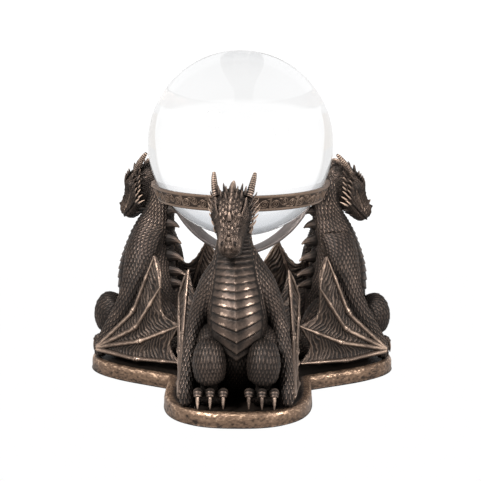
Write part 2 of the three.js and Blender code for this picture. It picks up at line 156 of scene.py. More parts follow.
class Clay:
    """Gathers grids of points into one mesh. Points are [side, out, up] in millimetres, and relief, about
    0 to 1, says how far the dark finish is rubbed off at each; in a few places it also holds a painted
    highlight."""

    def __init__(self):
        self.points, self.relief, self.quads, self.fans, self.count = [], [], [], [], 0

    def _take(self, points, relief):
        start = self.count
        self.points.append(points.reshape(-1, 3))
        self.relief.append(np.broadcast_to(relief, points.shape[:-1]).reshape(-1))
        self.count += points.shape[0] * points.shape[1]
        return start

    def tube(self, points, relief=0.5, close=True):
        """A grid (rows, columns, 3) whose columns go round; its two ends are closed by fans."""
        rows, columns = points.shape[:2]
        start = self._take(points, relief)
        i = np.arange(rows - 1)[:, None] * columns
        j = np.arange(columns)[None, :]
        k = (j + 1) % columns
        quad = start + np.stack([i + j, i + k, i + columns + k, i + columns + j], -1)
        self.quads.append(quad.reshape(-1, 4))
        if close:
            for row, flip in ((0, True), (rows - 1, False)):
                ring = start + row * columns + np.arange(columns)
                middle = self._take(points[row].mean(axis=0)[None, None], 0.5)
                pair = (np.roll(ring, -1), ring) if flip else (ring, np.roll(ring, -1))
                self.fans.append(np.stack([*pair, np.full(columns, middle)], -1))
        return self

    def sheet(self, front, back, relief=0.5):
        """Two grids back to back, closed round all four edges."""
        rows, columns = front.shape[:2]
        both = np.concatenate([front, back[:, ::-1]], axis=1)
        relief = np.broadcast_to(relief, (rows, columns))
        start = self.count
        self.tube(both, np.concatenate([relief, relief[:, ::-1]], axis=1), close=False)
        j = np.arange(columns - 1)
        for row, flip in ((0, True), (rows - 1, False)):
            near = start + row * 2 * columns + j
            far = start + (row + 1) * 2 * columns - 1 - j
            quad = np.stack([near, near + 1, far - 1, far], -1)
            self.quads.append(quad[:, ::-1] if flip else quad)
        return self

    def add(self, other, mirror=False):
        flip = -1 if mirror else 1
        for points, relief in zip(other.points, other.relief):
            self.points.append(points * [flip, 1, 1])
            self.relief.append(relief)
        for mine, theirs in ((self.quads, other.quads), (self.fans, other.fans)):
            for faces in theirs:
                mine.append((faces + self.count)[:, ::flip])
        self.count += other.count
        return self

    def mesh(self, name):
        """The clay as a smooth mesh in metres, with the relief as an attribute."""
        co = np.concatenate(self.points) * [1, -1, 1] * MM
        faces = self.quads + self.fans
        loops = np.concatenate([f.ravel() for f in faces])
        sizes = np.concatenate([np.full(len(f), f.shape[1]) for f in faces])
        starts = np.concatenate([[0], np.cumsum(sizes)[:-1]])
        mesh = bpy.data.meshes.new(name)
        mesh.vertices.add(len(co))
        mesh.vertices.foreach_set("co", co.astype(np.float32).ravel())
        mesh.loops.add(len(loops))
        mesh.loops.foreach_set("vertex_index", loops.astype(np.int32))
        mesh.polygons.add(len(sizes))
        mesh.polygons.foreach_set("loop_start", starts.astype(np.int32))
        mesh.update(calc_edges=True)
        mesh.validate()
        mesh.polygons.foreach_set("use_smooth", np.ones(len(mesh.polygons), bool))
        relief = mesh.attributes.new("relief", "FLOAT", "POINT")
        relief.data.foreach_set("value", np.concatenate(self.relief).astype(np.float32))
        return mesh


def surface_normals(points, wrap=True):
    """Outward normals of a grid whose columns go round and whose rows go along."""
    if wrap:
        around = np.roll(points, -1, axis=1) - np.roll(points, 1, axis=1)
    else:
        around = np.gradient(points, axis=1)
    along = np.gradient(points, axis=0)
    return unit(np.cross(along, around))


class Sweep:
    """An oval bar along a path. Each station is [side, out, up, half width, half depth].
    Angle 0 is the outward or upper side, and positive angles turn towards +side."""

    def __init__(self, stations, step, columns, across=(1, 0, 0), round_start=0.0, round_end=0.0):
        fine = spline(stations, np.linspace(0, 1, 600))
        length = np.concatenate([[0], np.cumsum(np.linalg.norm(np.diff(fine[:, :3], axis=0), axis=1))])
        self.length = length[-1]
        rows = max(int(self.length / step), 4)
        self.arc = np.linspace(0, self.length, rows)
        if round_start or round_end:
            edge = 0.5 - 0.5 * np.cos(np.linspace(0, math.pi, rows))
            blend = 0.35
            self.arc = self.length * ((1 - blend) * self.arc / self.length + blend * edge)
        self.at = np.interp(self.arc, length, np.linspace(0, 1, 600))
        data = spline(stations, self.at)
        self.centre = data[:, :3]
        tangent = unit(np.gradient(self.centre, axis=0))
        across = np.asarray(across, float)
        self.sideways = unit(across - (tangent @ across)[:, None] * tangent)
        self.outward = np.cross(tangent, self.sideways)
        self.size = data[:, 3:5].copy()
        for radius, distance in ((round_start, self.arc), (round_end, self.length - self.arc)):
            if radius:
                share = np.clip(distance / radius, 0.0, 1)
                self.size *= np.sqrt(np.clip(1 - (1 - share) ** 2, 0.0009, 1))[:, None]
        self.angle = np.linspace(-math.pi, math.pi, columns, endpoint=False)

    def surface(self, squareness=1.0):
        sin, cos = np.sin(self.angle), np.cos(self.angle)
        wide = np.sign(sin) * np.abs(sin) ** squareness
        deep = np.sign(cos) * np.abs(cos) ** squareness
        return (self.centre[:, None]
                + self.sideways[:, None] * (self.size[:, :1] * wide)[..., None]
                + self.outward[:, None] * (self.size[:, 1:] * deep)[..., None])

    def displaced(self, height, squareness=1.0):
        """The surface raised by a height for each point, each row (rows, 1) or each column (columns)."""
        points = self.surface(squareness)
        return points + surface_normals(points) * height[..., None]

    def clearance(self, points):
        """About how far points are outside the bar's surface; negative inside it."""
        nearest = np.full(points.shape[:-1], np.inf)
        clear = np.full(points.shape[:-1], np.inf)
        for i in range(0, len(self.arc), 4):
            offset = points - self.centre[i]
            wide, deep = offset @ self.sideways[i], offset @ self.outward[i]
            along = np.abs(offset @ np.cross(self.sideways[i], self.outward[i]))
            radius = np.hypot(wide, deep)
            stretch = np.hypot(wide / self.size[i, 0], deep / self.size[i, 1])
            excess = radius * (1 - 1 / np.maximum(stretch, 0.05))
            rank = along + np.maximum(excess, 0)
            better = rank < nearest
            nearest = np.where(better, rank, nearest)
            clear = np.where(better, np.where(along > 2, np.hypot(excess, along), excess), clear)
        return clear


def fillet(clearance, reach):
    """How much a surface swells near another, so that the two run into each other without a crease."""
    return 0.25 * reach * np.clip(1 - np.abs(clearance) / reach, 0, 1) ** 2


# ---- skin patterns

def scales(along, across, keel=0.25):
    """Overlapping pointed scales, 0 to 1. along counts rows towards the tips; across counts columns."""
    best = np.zeros(np.broadcast(along, across).shape)
    for back in (0, 1):
        row = np.floor(along) - back
        p = (along - row) / 1.75
        q = across - 0.5 * np.mod(row, 2)
        q = q - np.floor(q) - 0.5
        half = 0.56 * np.clip(1 - np.clip(p, 0, 1) ** 2.4, 0, 1) ** 0.75
        inside = np.clip((half - np.abs(q)) / 0.1, 0, 1)
        rise = 0.25 + 0.6 * p - 0.9 * q * q + keel * bump(q, 0.09)
        best = np.maximum(best, inside * np.clip(rise, 0, 1.2))
    return best


def plates(count, across):
    """Belly plates, 0 to 1: each rises towards its lower edge, then drops. count grows downwards."""
    share = count - np.floor(count)
    face = 0.35 + 0.55 * share ** 1.4
    edge = 1 - smooth(0.86, 1.0, share)
    lift = smooth(0.0, 0.1, share)
    side = 1 - smooth(0.86, 1.0, np.abs(across))
    return face * edge * lift * (0.35 + 0.65 * side)


# ---- materials

def node_material(name, values):
    """A new material, its node tree and its shader, with the given values on the shader's own sockets."""
    material = bpy.data.materials.new(name)
    material.use_nodes = True
    tree = material.node_tree
    shader = tree.nodes["Principled BSDF"]
    feed(tree, shader, values)
    return material, tree, shader


def feed(tree, node, inputs):
    """Fills a node's inputs, each from another node's socket or with a plain value."""
    for key, value in inputs.items():
        if isinstance(value, bpy.types.NodeSocket):
            tree.links.new(value, node.inputs[key])
        else:
            node.inputs[key].default_value = value


def wire(tree, kind, settings=None, inputs=None):
    node = tree.nodes.new(kind)
    for key, value in (settings or {}).items():
        setattr(node, key, value)
    feed(tree, node, inputs or {})
    return node


def calculate(tree, operation, *values):
    """A Math node's result, from sockets or numbers."""
    return wire(tree, "ShaderNodeMath", {"operation": operation}, dict(enumerate(values))).outputs[0]


def map_range(tree, value, low, high, to_low=0.0, to_high=1.0):
    """A number moved from the range low to high into the range to_low to to_high, and kept in it."""
    inputs = {"Value": value, "From Min": low, "From Max": high, "To Min": to_low, "To Max": to_high}
    return wire(tree, "ShaderNodeMapRange", None, inputs).outputs[0]


def grain_texture(tree, scale, detail):
    place = wire(tree, "ShaderNodeTexCoord").outputs["Object"]
    inputs = {"Vector": place, "Scale": scale, "Detail": detail}
    return wire(tree, "ShaderNodeTexNoise", None, inputs).outputs["Fac"]


def bumps(tree, height, strength, distance):
    inputs = {"Height": height, "Strength": strength, "Distance": distance}
    return wire(tree, "ShaderNodeBump", None, inputs).outputs["Normal"]


def ramp(tree, value, stops):
    node = wire(tree, "ShaderNodeValToRGB", None, {"Fac": value})
    elements = node.color_ramp.elements
    elements[0].position, elements[0].color = stops[0][0], (*stops[0][1], 1)
    elements[1].position, elements[1].color = stops[-1][0], (*stops[-1][1], 1)
    for position, colour in stops[1:-1]:
        elements.new(position).color = (*colour, 1)
    return node.outputs["Color"]


def bronze(name, dark, mid, bright, rub=0.62, metallic=0.78, roughness=0.42, grain=0.25, painted_shade_reach=0.007):
    """Cold-cast bronze: near-black where the relief is low, darker still by painted shade where the surface
    is shut in (ambient occlusion put into the colour), and rubbed bright where it is high.
    """
    material, tree, shader = node_material(name, {"Metallic": metallic})
    relief = wire(tree, "ShaderNodeAttribute", {"attribute_name": "relief"}).outputs["Fac"]
    patches = grain_texture(tree, 90.0, 4.0)
    specks = grain_texture(tree, 900.0, 3.0)
    # painted shade: ambient occlusion darkens the colour in creases, in recesses and between parts
    shade = wire(tree, "ShaderNodeAmbientOcclusion", {"samples": 6}, {"Distance": painted_shade_reach}).outputs["AO"]
    worn = calculate(tree, "MULTIPLY_ADD", patches, 0.5, -0.25)
    worn = calculate(tree, "MULTIPLY_ADD", specks, 0.3, worn)
    high = calculate(tree, "SUBTRACT", calculate(tree, "ADD", relief, worn), 0.15)
    painted_shade_factor = calculate(tree, "POWER", shade, 1.6)
    # the rubbed finish multiplied by the painted shade
    rub_and_painted_shade = calculate(tree, "MULTIPLY", high, painted_shade_factor)
    colour = ramp(tree, rub_and_painted_shade, [(0.12, dark), (0.42, mid), (rub, mid), (0.95, bright)])
    rough = calculate(tree, "MULTIPLY_ADD", specks, 0.25, roughness + 0.06)
    rough = calculate(tree, "MULTIPLY_ADD", rub_and_painted_shade, -0.22, rough)
    normal = bumps(tree, specks, grain, 0.0003)
    feed(tree, shader, {"Base Color": colour, "Roughness": rough, "Normal": normal})
    return material


def felt_material():
    material, tree, shader = node_material("felt", {"Roughness": 1.0})
    fibre = grain_texture(tree, 2500.0, 4.0)
    colour = ramp(tree, fibre, [(0.3, (0.008, 0.007, 0.006)), (0.7, (0.03, 0.027, 0.024))])
    feed(tree, shader, {"Base Color": colour, "Normal": bumps(tree, fibre, 0.6, 0.0004)})
    return material


def glass_material():
    material, tree, shader = node_material("clear_glass", {
        "Roughness": 0.0, "IOR": 1.5, "Transmission Weight": 1.0})
    tint = grain_texture(tree, 12.0, 2.0)
    colour = ramp(tree, tint, [(0.3, (0.968, 0.97, 0.972)), (0.7, (0.976, 0.976, 0.976))])
    feed(tree, shader, {"Base Color": colour})
    return material


# Each finish: its colour in the recesses (dark patina, and also the painted shade where the surface is shut
# in), on the flat, and where it is rubbed bright
DRAGON_SKIN = bronze("dragon_bronze", (0.015, 0.0115, 0.0095), (0.076, 0.053, 0.041), (0.76, 0.55, 0.42),
                     painted_shade_reach=0.012)
WING_SKIN = bronze("wing_bronze", (0.016, 0.0125, 0.0105), (0.108, 0.076, 0.058), (0.68, 0.49, 0.37),
                   painted_shade_reach=0.012)
RING_METAL = bronze("ring_bronze", (0.034, 0.023, 0.017), (0.18, 0.124, 0.09), (0.72, 0.51, 0.38),
                    painted_shade_reach=0.003)
HEAD_SKIN = bronze("head_bronze", (0.018, 0.0135, 0.011), (0.1, 0.07, 0.054), (0.8, 0.58, 0.44),
                   rub=0.5, painted_shade_reach=0.009)
STRAP_METAL = bronze("strap_bronze", (0.02, 0.017, 0.015), (0.075, 0.062, 0.057), (0.2, 0.17, 0.155),
                     painted_shade_reach=0.004)
RIM_METAL = bronze("rim_bronze", (0.014, 0.009, 0.006), (0.15, 0.093, 0.06), (0.54, 0.365, 0.245),
                   metallic=0.7, painted_shade_reach=0.01)


# ---- placing pieces

def in_scene(name, data):
    thing = bpy.data.objects.new(name, data)
    bpy.context.scene.collection.objects.link(thing)
    return thing


def piece(name, mesh, material, body="stand", nodes=(), turn=0.0):
    thing = in_scene(name, mesh)
    if not mesh.materials:
        mesh.materials.append(material)
    thing.rotation_euler.z = turn
    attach(thing, body)
    if nodes:
        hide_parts(*nodes)
    return thing


def dragon_pieces(name, clay, material, node):
    """The same casting for each of the three dragons."""
    mesh = clay.mesh(name)
    for where, turn in DRAGONS.items():
        cad_node = f"dragon_{where}_{node}"
        piece(f"dragon_{where}_{name}", mesh, material, nodes=[cad_node], turn=turn)


# ---- camera, light and floor

FLOOR_GLOW = 1.003
# In metres from the middle of the object
SHEET_EDGE = 0.36


def camera():
    data = bpy.data.cameras.new("camera")
    data.sensor_width = 36.0
    data.lens = 111.4
    view = in_scene("camera", data)
    swing = math.radians(1.5)
    distance, height, pitch = 0.878, 0.2535, math.radians(10.75)
    view.location = (distance * math.sin(swing), -distance * math.cos(swing), height)
    view.rotation_euler = (math.pi / 2 - pitch, 0, swing)
    bpy.context.scene.camera = view


def area_light(name, place, target, size, power, colour=(1, 1, 1)):
    data = bpy.data.lights.new(name, "AREA")
    data.shape = "RECTANGLE"
    data.size, data.size_y = size
    data.energy = power
    data.color = colour
    lamp = in_scene(name, data)
    lamp.location = place
    lamp.visible_transmission = False
    aim = np.asarray(target, float) - np.asarray(place, float)
    yaw = math.atan2(aim[1], aim[0]) - math.pi / 2
    lamp.rotation_euler = (math.pi / 2 + math.atan2(aim[2], math.hypot(aim[0], aim[1])), 0, yaw)
    return lamp


def grey(value):
    return (value, value, value)


def studio():
    """A white backdrop with a darker room on the camera's side, three soft lights, and a pale floor."""
    scene = bpy.context.scene
    scene.view_settings.view_transform = "Standard"
    world = bpy.data.worlds.new("studio")
    scene.world = world
    world.use_nodes = True
    tree = world.node_tree
    direction = wire(tree, "ShaderNodeTexCoord").outputs["Generated"]
    way = wire(tree, "ShaderNodeSeparateXYZ", None, {0: direction})
    across = ramp(tree, map_range(tree, way.outputs["Y"], -1.0, 1.0), [
        (0.25, grey(0.3)), (0.46, grey(0.7)), (0.795, grey(0.77)), (0.825, grey(1.0))])
    upward = ramp(tree, map_range(tree, way.outputs["Z"], -1.0, 1.0), [
        (0.58, grey(1.0)), (0.72, (0.85, 0.86, 0.88)), (0.85, (0.74, 0.76, 0.79)), (1.0, (0.5, 0.52, 0.56))])
    room = wire(tree, "ShaderNodeMix", {"data_type": "RGBA", "blend_type": "MULTIPLY"},
                {"Factor": 1.0, 6: across, 7: upward})
    feed(tree, tree.nodes["Background"], {"Color": room.outputs[2], "Strength": 1.15})
    middle = (0, 0, 0.09)
    area_light("key", (-0.55, -0.75, 0.75), middle, (0.3, 0.3), 24)
    area_light("fill", (0.8, -0.6, 0.5), middle, (0.25, 0.5), 12)
    area_light("back", (0.1, 0.9, 0.8), middle, (0.8, 0.4), 6).visible_glossy = False
    pale_floor()


def pale_floor():
    """A glowing white floor, so that no shadow falls on it. Beyond SHEET_EDGE it is brighter before and
    behind the object, and duller and warmer to its sides."""
    bpy.ops.mesh.primitive_plane_add(size=1)
    floor = bpy.context.object
    floor.name = "floor"
    floor.scale = (30, 30, 1)
    material, tree, shader = node_material("pale_floor", {
        "Base Color": (0, 0, 0, 1), "Roughness": 0.9, "Specular IOR Level": 0.0})
    place = wire(tree, "ShaderNodeNewGeometry").outputs["Position"]
    spot = wire(tree, "ShaderNodeSeparateXYZ", None, {0: place})
    beside = calculate(tree, "ABSOLUTE", spot.outputs["X"])
    behind = calculate(tree, "ABSOLUTE", spot.outputs["Y"])
    spread = calculate(tree, "DIVIDE", beside, behind)
    distance = wire(tree, "ShaderNodeVectorMath", {"operation": "LENGTH"}, {0: place}).outputs["Value"]
    sheet = map_range(tree, distance, SHEET_EDGE, SHEET_EDGE + 0.04)
    extra = map_range(tree, spread, 1.25, 1.3, 0.1, -0.1)
    glow = calculate(tree, "MULTIPLY_ADD", sheet, extra, FLOOR_GLOW)
    aside = calculate(tree, "MULTIPLY", calculate(tree, "MULTIPLY", spread, sheet), 0.5)
    warm = ramp(tree, aside, [(0.62, grey(1.0)), (0.65, (1.0, 0.965, 0.93))])
    feed(tree, shader, {"Emission Strength": glow, "Emission Color": warm})
    floor.data.materials.append(material)


# ---- the dragon's body

SCALE_ROW = 2.3
SCALE_WIDTH = 2.0
SCALE_RISE = 0.75

TRUNK = [
    (0, 46, 8, 9, 8),
    (0, 52, 15, 13, 11),
    (0, 59, 26, 14.4, 14),
    (0, 65.4, 40, 15.6, 17.8),
    (0, 68, 54, 15.9, 18.5),
    (HEAD_LEAN * 0.25, 68, 67, 14.8, 16.7),
    (HEAD_LEAN * 0.5, 66, 81, 11.6, 12.8),
    (HEAD_LEAN * 0.8, 61.2, 94, 9.7, 9.3),
    (HEAD_LEAN * 0.95, 58.6, 103, 8.9, 7.8),
    (HEAD_LEAN, 57.6, 109, 8.4, 7.5),
    (HEAD_LEAN, 58.6, 114, 8, 7.4),
    (HEAD_LEAN, 61, 118.5, 7.4, 7.2),
]


def skin(bar, to_start=True, size=1.0, seed=0):
    """The pattern of scales on a bar, pointing to its start or its end."""
    arc = bar.length - bar.arc if to_start else bar.arc
    girth = np.sqrt(bar.size[:, 0] * bar.size[:, 1])
    along = arc[:, None] / (SCALE_ROW * size)
    across = bar.angle * girth[:, None] / (SCALE_WIDTH * size)
    warp = noise(stacked(along, across), 5.0, seed) - 0.5
    return scales(along + 1.3 * warp, across + 0.9 * warp)


def worn_scales(pattern):
    """How far the dark finish is rubbed off: only on the raised middle and tip of each scale."""
    return 0.95 * pattern ** 2.3


def scaly(bar, to_start=True, size=1.0, seed=0, rub=1.0):
    """A bar's surface with scales on it, and how far they are rubbed."""
    pattern = skin(bar, to_start, size, seed)
    return bar.displaced(SCALE_RISE * size * pattern), rub * worn_scales(pattern)


def trunk():
    """The trunk and neck: plates down the front with a keel, scales elsewhere, and a fillet to the arms."""
    bar = Sweep(TRUNK, 0.4, 280, round_start=6)
    up = bar.centre[:, 2]
    plate = np.interp(up, (28, 50, 75, 100, 120), (4.6, 4.7, 3.3, 2.1, 2.0))
    steps = np.diff(bar.arc) / plate[1:]
    below = np.concatenate([np.cumsum(steps[::-1])[::-1], [0]])
    half = np.interp(up, (40, 43, 46.4, 50.5, 58, 69, 80, 90, 104, 118),
                     (0.4, 6.3, 11, 13.2, 13.9, 12.4, 9.6, 8.3, 7.5, 7))
    edge = np.arcsin(np.clip(half / bar.size[:, 0], 0, 0.95))
    share_out = bar.angle / edge[:, None]
    middle = 1 - np.clip(np.abs(share_out), 0, 1)
    dip = np.interp(up, (45, 58, 75, 100), (6.0, 3.0, 1.2, 0.8))[:, None] * middle
    count = np.interp(bar.arc[:, None] + dip, bar.arc, below)
    belly = plates(count, share_out)
    share = count - np.floor(count)
    fall = 1 - smooth(0.9, 1.0, share)
    keel = bump(bar.angle * bar.size[:, :1], 0.75) * (0.2 + 0.8 * share) * fall
    inside = (1 - smooth(0.98, 1.05, np.abs(share_out))) * smooth(39, 42, up)[:, None]
    pattern = skin(bar, size=1.05)
    glint = rough_noise(bar.surface(), 2.2, 15)
    swell = fillet(arm_bar().clearance(np.abs(bar.surface() - [HEAD_LEAN / 4, 0, 0])), 7)
    low_belly = (smooth(40, 52, up) * (1 - smooth(74, 84, up)))[:, None]
    # painted highlight: a bright band about a third of the way out on the middle belly plates
    painted_highlight = bump(np.abs(share_out) - 0.45, 0.22) * low_belly
    height = inside * (0.3 + 1.45 * belly + 0.55 * keel + 0.25 * glint) + (1 - inside) * SCALE_RISE * pattern
    # the belly's rubbed brightness includes the painted highlight band
    relief = (inside * (0.04 + (0.25 + 0.55 * glint) * belly ** 1.4 + 0.34 * keel + 0.6 * painted_highlight * belly)
              + (1 - inside) * worn_scales(pattern))
    return Clay().tube(bar.displaced(height + swell), relief)


# Fins down the spine: how far out and how high the tip is, and the length of the root
FINS = [
    (45.6, 99.2, 8), (44.2, 90.6, 8.4), (42.8, 80.6, 9.6),
    (41.2, 70.2, 9.6), (39.6, 61, 8.5), (38.8, 53.4, 8.5),
]


def spine_fins():
    clay = Clay()
    path = spline([(s[1] - s[4] * 0.9, s[2]) for s in TRUNK], np.linspace(0, 1, 200))
    for tip_out, tip_up, length in FINS:
        root_up = tip_up + 0.16 * length
        root_out = np.interp(root_up, path[:, 1], path[:, 0])
        bar = Sweep([
            (0, root_out + 3, root_up, 2.8, 0.46 * length),
            (0, root_out - 1, root_up + 0.3, 2.2, 0.44 * length),
            (0, 0.45 * root_out + 0.55 * tip_out, root_up + 0.3, 1.5, 0.25 * length),
            (0, 0.15 * root_out + 0.85 * tip_out, tip_up + 0.1 * length, 0.8, 0.11 * length),
            (0, tip_out, tip_up, 0.3, 0.3),
        ], 0.3, 44)
        ribs = 0.5 + 0.5 * np.cos(bar.angle * 9 + 0.3 * bar.arc[:, None])
        toward_tip = (bar.arc / bar.length)[:, None]
        clay.tube(bar.displaced(0.14 * ribs), 0.01 + 0.16 * ribs + 0.75 * toward_tip ** 2.2)
    return clay


def hind_leg():
    """One hind leg on the +side: the thigh, the big round knee, the shin, and a foot of three clawed toes."""
    clay = Clay()
    haunch = Sweep([
        (12, 44, 22, 8, 11),
        (15, 52, 34, 10.5, 15),
        (15.5, 62, 40, 9.5, 13.5),
        (14.8, 73, 36.5, 8, 11),
        (14.6, 80, 34, 7, 9),
    ], 0.6, 120, round_start=5)
    clay.tube(*scaly(haunch, to_start=False))
    knee = Sweep([
        (14.4, 86, 22.0, 5, 6),
        (14.6, 86, 25, 7.2, 8.6),
        (14.9, 85.6, 31, 8.5, 11.2),
        (15.0, 85, 37, 8.4, 11.0),
        (14.8, 83, 42.6, 6.8, 8.8),
        (14.4, 81, 46.2, 4, 5),
    ], 0.36, 130, round_start=4.5, round_end=4.5)
    clay.tube(*scaly(knee, size=1.1, seed=3, rub=0.75))
    shin = Sweep([(14.5, 80, 9, 4.6, 4.6), (15, 77.5, 18, 4, 4.5), (16, 80, 27, 5, 6)], 0.5, 70)
    clay.tube(*scaly(shin, seed=4))
    heel = Sweep([(19, 60, 8, 5, 5), (20.4, 68, 13, 5.4, 6), (20.6, 76, 18, 4.6, 7)], 0.5, 70,
                 round_start=3, round_end=3)
    clay.tube(*scaly(heel, seed=7, rub=0.3))
    foot = Sweep([(14.5, 74, 11, 6, 4), (14.4, 82, 14, 7, 4.2), (14.2, 88, 15.4, 7.4, 3)], 0.45, 80,
                 round_end=2.5)
    clay.tube(*scaly(foot, to_start=False, seed=5))
    for toe in (7, 14.2, 21):
        root = foot.centre[0, 0] + (toe - 14) * 0.7
        clay.tube(*scaly(Sweep([
            (root, 82, 14.6, 2.8, 2.7),
            (0.4 * root + 0.6 * toe, 87, 17.4, 2.5, 2.5),
            (toe, 91, 19.2, 2.2, 2.1),
        ], 0.3, 44, round_end=1.6), to_start=False, size=0.75, seed=6))
        cap = Sweep([
            (toe, 89.6, 19.4, 2.0, 1.9),
            (toe, 91.4, 19.3, 2.35, 2.25),
            (toe, 93, 18.2, 2.1, 2.0),
            (toe, 93.7, 16.9, 1.75, 1.7),
        ], 0.2, 40, round_start=0.8, round_end=0.7)
        ridges = ripple(cap.arc / 1.5)[:, None]
        clay.tube(cap.displaced(0.3 * ridges), 0.15 + 0.45 * ridges)
        claw = Sweep([
            (toe, 92.2, 18.8, 1.0, 1.1),
            (toe, 94.2, 17, 1.05, 1.1),
            (toe, 95.1, 13.8, 0.78, 0.8),
            (toe, 95.3, 10.6, 0.3, 0.3),
        ], 0.25, 24, round_end=0.5)
        grain = 0.5 + 0.5 * np.cos(claw.angle * 6)
        clay.tube(claw.displaced(0.05 * grain), 0.62 + 0.12 * grain)
    return clay


def tail():
    bar = Sweep([
        (0, 46, 14, 6, 5.5),
        (1, 34, 14, 4.8, 4.2),
        (6, 25, 13.2, 3.6, 3.4),
        (15, 21, 12.6, 2.8, 2.6),
        (22, 26, 12, 2, 2),
        (22, 34, 11.6, 1, 1),
    ], 0.4, 90, across=(0, 0, 1), round_end=1.0)
    return Clay().tube(*scaly(bar, to_start=False, seed=9))


# ---- the dragon's head

# How the skull grows along the snout: distance along, height of the top, depth of the jaw, half width.
SKULL = [
    (-5, 5, 5, 5.5), (-2, 9, 8.5, 7.8), (2, 12, 9.6, 9.2), (7, 13.6, 10.4, 10.2), (12, 14.2, 10.6, 10.2),
    (15.5, 14.0, 10.5, 9.8), (19, 11.8, 9.6, 8.8), (22.5, 9.6, 8.4, 7.7), (26, 8.2, 7.6, 7.0),
    (30, 7.4, 6.8, 6.8), (33.6, 5.6, 5.6, 5.9), (35.6, 2.8, 3.4, 4.0),
]


# Where the brow runs: distances along the snout, and how far out it is at each
BROW_LINE = (3, 12, 21), (8.8, 7.9, 4.9)


def head_point(along, over, side):
    """A point [side, out, up] from its distance along the snout, its height over that line, and sideways."""
    along, over, side = np.broadcast_arrays(along, over, side)
    spot = SKULL_BACK + along[..., None] * SNOUT_WAY + over[..., None] * FACE_WAY
    return np.concatenate([side[..., None], spot], axis=-1)


def dash_rows(along, side, lines, pitch, length, width):
    """Raised dashes in rows along the face, 0 to 1. lines gives each row's distance from the middle."""
    total = np.zeros(np.broadcast(along, side).shape)
    for k, line in enumerate(lines):
        place = (along / pitch + 0.5 * (k % 2)) % 1 - 0.5
        reach = 1 - smooth(0.32, 0.5, np.abs(place) * pitch / length)
        total = np.maximum(total, bump(np.abs(side) - line, width) * reach)
    return total


def skull():
    table = np.array(SKULL)
    rows, columns = 250, 310
    share = np.linspace(0, 1, rows)
    first, last = table[0, 0], table[-1, 0]
    along = first + (last - first) * (0.7 * share + 0.3 * (0.5 - 0.5 * np.cos(math.pi * share)))
    stations = spline(table, np.interp(along, table[:, 0], np.linspace(0, 1, len(table))))
    top, deep, wide = (stations[:, k:k + 1] for k in (1, 2, 3))
    turn = np.linspace(0, 2 * math.pi, columns, endpoint=False)
    face = np.abs(turn - math.pi)
    a = np.broadcast_to(along[:, None], (rows, columns))
    cos = -np.cos(turn)
    side = -wide * np.sign(np.sin(turn)) * np.abs(np.sin(turn)) ** 0.85
    over = np.where(cos > 0, top * np.abs(cos) ** 0.7, -deep * np.abs(cos) ** 0.9)
    points = head_point(a, over, side)
    outward = surface_normals(points)
    out = np.abs(side)
    upper = smooth(-1, 4, over)
    ridge = bump(out, 0.8) * upper * smooth(-2, 3, a) * (1 - smooth(28, 31, a))
    bead = ripple(a / 3.3)
    brow = bump(out - np.interp(a, *BROW_LINE), 0.8) * upper * smooth(2, 5, a) * (1 - smooth(13, 17, a))
    knots = ripple(a / 2.4)
    spread = np.interp(a, (0, 14, 24, 30), (1.0, 0.95, 0.72, 0.6))
    dashes = dash_rows(a, side / spread, (2.3, 4.2, 6.1), 3.6, 2.6, 0.55)
    dashes = dashes * upper * smooth(0, 3, a) * (1 - smooth(25, 29, a))
    eye_socket = hump((a - 13) / 3.2, (over - 4.6) / 2.2) * smooth(5.5, 7.5, out)
    nostril = hump((a - 31.4) / 1.0, (out - 3.7) / 0.8) * upper
    nostril_rim = hump((a - 31.0) / 2.2, (out - 3.7) / 1.9) * upper
    wedge = bump(out - np.interp(a, (27, 34), (0.2, 2.0)), 0.55) * upper * smooth(26, 28, a)
    mouth_over = np.interp(a, (18, 24, 30, 34), (-3.6, -2.8, -2.4, -1.6))
    mouth = bump(over - mouth_over, 0.42) * smooth(17, 20, a)
    lips = bump(over - mouth_over - 1.1, 0.7) * smooth(17, 20, a)
    lips = lips + bump(over - mouth_over + 1.2, 0.7) * smooth(18, 21, a)
    teeth = bump(over - mouth_over, 0.8) * ripple(a / 1.5) * smooth(19, 22, a)
    cheek = hump((a - 8) / 6, (over + 3) / 4.5)
    girth = np.interp(a, (-4, 10, 20, 34), (8, 10, 8.4, 5.6))
    warp = noise(points, 4.0, 21) - 0.5
    fine = np.interp(a, (14, 26), (1.0, 0.8))
    long_scales = scales((36 - a) / 2.7 + 0.9 * warp, face * girth / 1.25 + 0.6 * warp, keel=0.5)
    calm = np.clip(ridge + nostril_rim + lips + dashes, 0, 1)
    height = (0.95 * fine * long_scales * (1 - 0.8 * calm)
              + ridge * (0.5 + 0.9 * bead) + brow * (0.3 + 0.7 * knots) + 0.85 * dashes
              - 1.9 * eye_socket - 1.7 * nostril + 0.8 * nostril_rim + 0.5 * wedge
              - 0.9 * mouth + 0.55 * lips + 0.25 * teeth + 0.8 * cheek)
    relief = (0.95 * long_scales ** 1.8 * (1 - calm)
              + ridge * (0.4 + 0.6 * bead) + brow * (0.1 + 0.5 * knots) + 0.85 * dashes
              + 0.22 * smooth(23, 29, a) * upper + 0.3 * nostril_rim + 0.3 * wedge + 0.3 * lips
              - 0.9 * nostril - 0.8 * mouth - 0.6 * eye_socket)
    relief = np.clip(relief, 0, 1.2)
    grid = points + outward * height[..., None]
    return Clay().tube(grid, relief)


